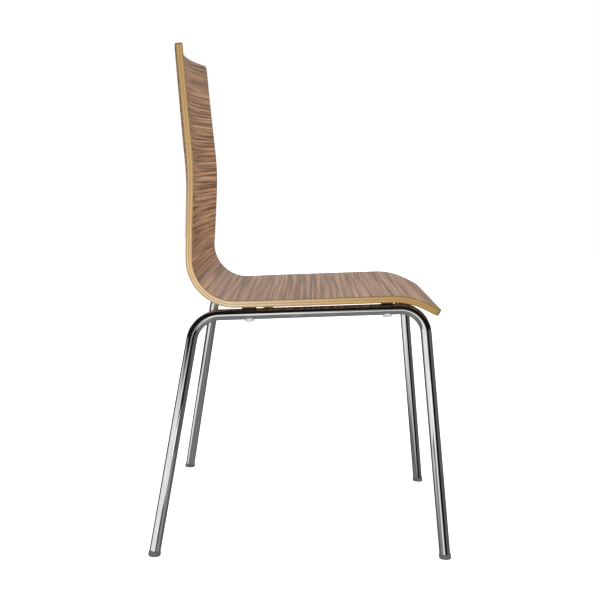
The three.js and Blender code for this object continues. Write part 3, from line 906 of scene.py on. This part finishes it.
def studio_world():
    """The camera sees plain white. Soft light comes from above and from the chair's right
    side. Polished metal mirrors a studio of its own, laid out by bearing from -X, positive
    towards the chair's rear: a white sweep low down, dark above it, a dark strip towards
    the front, grey elsewhere and a bright patch high on the far side."""
    world = bpy.data.worlds.new("studio")
    bpy.context.scene.world = world
    world.use_nodes = True
    tree = world.node_tree
    tree.nodes.clear()
    n = Nodes(tree)
    direction = n.add("ShaderNodeTexCoord").outputs["Generated"]
    split = n.add("ShaderNodeSeparateXYZ", {"Vector": direction})
    x, y, z = split.outputs
    bearing = n.math("DEGREES", n.math("ARCTAN2", y, n.math("MULTIPLY", x, -1.0)))
    upper = n.step(z, 0.05, 0.14)
    below = n.step(z, -0.42, -0.52)
    behind = n.step(n.math("ABSOLUTE", bearing), 118.0, 132.0)

    def lerp(mask, first, second):
        return n.math("ADD", n.math("MULTIPLY", mask, n.math("SUBTRACT", second, first)), first)

    strip = n.math("MULTIPLY", n.step(bearing, -52.0, -42.0), n.step(bearing, -7.0, -13.0))
    level = lerp(strip, GREY_LEVEL, DARK_LEVEL)
    level = lerp(upper, level, lerp(behind, DARK_LEVEL, GREY_LEVEL))
    level = lerp(n.math("MULTIPLY", behind, n.step(z, 0.09, 0.16)), level, HIGH_FAR_LEVEL)
    level = lerp(below, level, FLOOR_LEVEL)
    sweep = n.math("MULTIPLY", n.step(bearing, -6.0, 2.5), n.step(bearing, 99.0, 88.0))
    sweep = n.math("MULTIPLY", sweep, n.step(z, 0.14, 0.05))
    sweep = n.math("MULTIPLY", sweep, n.step(z, -0.46, -0.36))
    level = lerp(sweep, level, SWEEP_LEVEL)
    seen_in_metal = n.add("ShaderNodeBackground", {"Strength": level})
    near_side = n.step(n.math("MULTIPLY", x, -1.0), 0.2, 0.9)
    soft_level = n.math("MULTIPLY_ADD", near_side, 0.42, n.step(z, -0.35, 0.05, 0.38, 1.0))
    rays = n.add("ShaderNodeLightPath")
    soft_level = lerp(rays.outputs["Is Camera Ray"], soft_level, 1.0)
    soft = n.add("ShaderNodeBackground", {"Color": (1.0, 1.0, 1.0, 1), "Strength": soft_level})
    mixed = n.add("ShaderNodeMixShader", {0: rays.outputs["Is Glossy Ray"]})
    n.put(soft.outputs[0], mixed.inputs[1])
    n.put(seen_in_metal.outputs[0], mixed.inputs[2])
    output = n.add("ShaderNodeOutputWorld")
    n.put(mixed.outputs[0], output.inputs["Surface"])


FLOOR_SIZE = 14.0


def studio_floor():
    """A plain white floor, bright enough that the chair hardly shades it."""
    half = FLOOR_SIZE / 2
    mesh = bpy.data.meshes.new("studio_floor")
    corners = [(-half, -half, 0), (half, -half, 0), (half, half, 0), (-half, half, 0)]
    mesh.from_pydata(corners, [], [(0, 1, 2, 3)])
    floor = bpy.data.objects.new("studio_floor", mesh)
    bpy.context.scene.collection.objects.link(floor)
    material, n, shader = new_material("white_floor")
    texture = n.noise(n.scaled(n.object_point(), 3.0), 2.0)
    n.put(n.mix(texture, (0.90, 0.90, 0.90, 1), (0.93, 0.93, 0.93, 1)), shader.inputs["Base Color"])
    shader.inputs["Roughness"].default_value = 0.9
    shader.inputs["Specular IOR Level"].default_value = 0.0
    shader.inputs["Emission Color"].default_value = (1, 1, 1, 1)
    shader.inputs["Emission Strength"].default_value = 0.6
    mesh.materials.append(material)
    floor.visible_glossy = False
    floor.visible_diffuse = False


def studio_card(name, corners, level):
    """A flat card that only polished metal mirrors."""
    mesh = bpy.data.meshes.new(name)
    mesh.from_pydata(corners, [], [(0, 1, 2, 3)])
    card = bpy.data.objects.new(name, mesh)
    bpy.context.scene.collection.objects.link(card)
    material, n, shader = new_material(name)
    shade = n.step(n.noise(n.scaled(n.object_point(), 2.0), 1.0), 0.3, 0.7, 0.95 * level, 1.05 * level)
    shader.inputs["Base Color"].default_value = (0, 0, 0, 1)
    shader.inputs["Specular IOR Level"].default_value = 0.0
    shader.inputs["Emission Color"].default_value = (1, 1, 1, 1)
    n.put(shade, shader.inputs["Emission Strength"])
    mesh.materials.append(material)
    card.visible_camera = False
    card.visible_diffuse = False
    card.visible_shadow = False


def card_along_x(y, x_range, z_range):
    (left, right), (low, high) = x_range, z_range
    return [(left, y, low), (right, y, low), (right, y, high), (left, y, high)]


def card_along_y(x, y_range, z_range):
    (left, right), (low, high) = y_range, z_range
    return [(x, left, low), (x, right, low), (x, right, high), (x, left, high)]


def studio_cards():
    """A white and a grey card low on the right side, a grey and a black one behind the chair."""
    studio_card("low_white_card", card_along_y(-1.05, (-0.28, 0.15), (0, 0.2)), 1.0)
    studio_card("grey_card", card_along_x(0.93, (0.1, 1.2), (0, 0.6)), 0.10)
    studio_card("low_grey_card", card_along_x(0, (-0.75, -0.3), (-0.25, 0.12)), 0.26)
    studio_card("black_card", card_along_x(0.93, (-0.11, 0.1), (0, 0.6)), 0.01)


def matrix_of(x_axis, y_axis, z_axis):
    return Matrix((x_axis, y_axis, z_axis)).transposed()


CAMERA_PLACE = (-1.79448, 0.01369, 0.65337)
CAMERA_YAW = math.radians(0.191)
CAMERA_DOWN = math.radians(7.668)
CAMERA_ROLL = math.radians(2.185)
CAMERA_LENS = 57.434
SENSOR = 36.0


def studio_camera():
    """Looks along +X at the chair's right side, a little down, and rolled slightly."""
    ahead = np.array([math.cos(CAMERA_YAW), math.sin(CAMERA_YAW), 0])
    right = np.array([math.sin(CAMERA_YAW), -math.cos(CAMERA_YAW), 0])
    up = np.array([0.0, 0.0, 1.0])
    tilted = ahead * math.cos(CAMERA_DOWN) - up * math.sin(CAMERA_DOWN)
    tilted_up = up * math.cos(CAMERA_DOWN) + ahead * math.sin(CAMERA_DOWN)
    rolled_right = right * math.cos(CAMERA_ROLL) + tilted_up * math.sin(CAMERA_ROLL)
    rolled_up = tilted_up * math.cos(CAMERA_ROLL) - right * math.sin(CAMERA_ROLL)
    data = bpy.data.cameras.new("camera")
    data.lens = CAMERA_LENS
    data.sensor_width = SENSOR
    camera = bpy.data.objects.new("camera", data)
    bpy.context.scene.collection.objects.link(camera)
    camera.location = CAMERA_PLACE
    camera.rotation_euler = matrix_of(rolled_right, rolled_up, -tilted).to_euler()
    bpy.context.scene.camera = camera


# ---- the chair -----------------------------------------------------------------------

veneer = veneer_material()
ply = ply_material()
chrome = chrome_material()
glide_plastic = moulded_material(
    "glide_plastic", srgb(98, 98, 99), srgb(122, 122, 122), 0.5, 1500.0, 0.25
)
spacer_rubber = moulded_material(
    "spacer_rubber", srgb(46, 34, 30), srgb(66, 50, 42), 0.6, 1100.0, 0.3
)
buffer_nylon = moulded_material(
    "buffer_nylon", srgb(214, 216, 216), srgb(198, 199, 198), 0.42, 900.0, 0.15
)
screw_steel = metal_material("zinc_plate", (0.62, 0.63, 0.65, 1), (0.45, 0.46, 0.47, 1), 0.28)
insert_brass = metal_material("machined_brass", (0.66, 0.52, 0.28, 1), (0.45, 0.34, 0.18, 1), 0.3)

shell_layer("plywood_core", -CORE_HALF, CORE_HALF, ply, ["shell_core"])
shell_layer(
    "front_veneer", CORE_HALF + GLUE_LINE / 5, HALF_PLY, veneer, ["front_face_veneer"]
)
shell_layer(
    "rear_veneer", -HALF_PLY, -CORE_HALF - GLUE_LINE / 5, veneer, ["rear_face_veneer"]
)
for label in CROSS_TUBE_YS:
    cross_tube(label, chrome)
for hand in SIDES:
    side_frame(hand, chrome)
    for end in FIXING_YS:
        glide(end, hand, glide_plastic)
        spacer(end, hand, spacer_rubber)
        buffer(end, hand, buffer_nylon)
        screw(end, hand, screw_steel)
        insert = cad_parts[f"{end}_{hand}_threaded_insert"]
        insert.data.materials.clear()
        insert.data.materials.append(insert_brass)

studio_world()
studio_floor()
studio_cards()
studio_camera()
bpy.context.scene.view_settings.view_transform = "Standard"
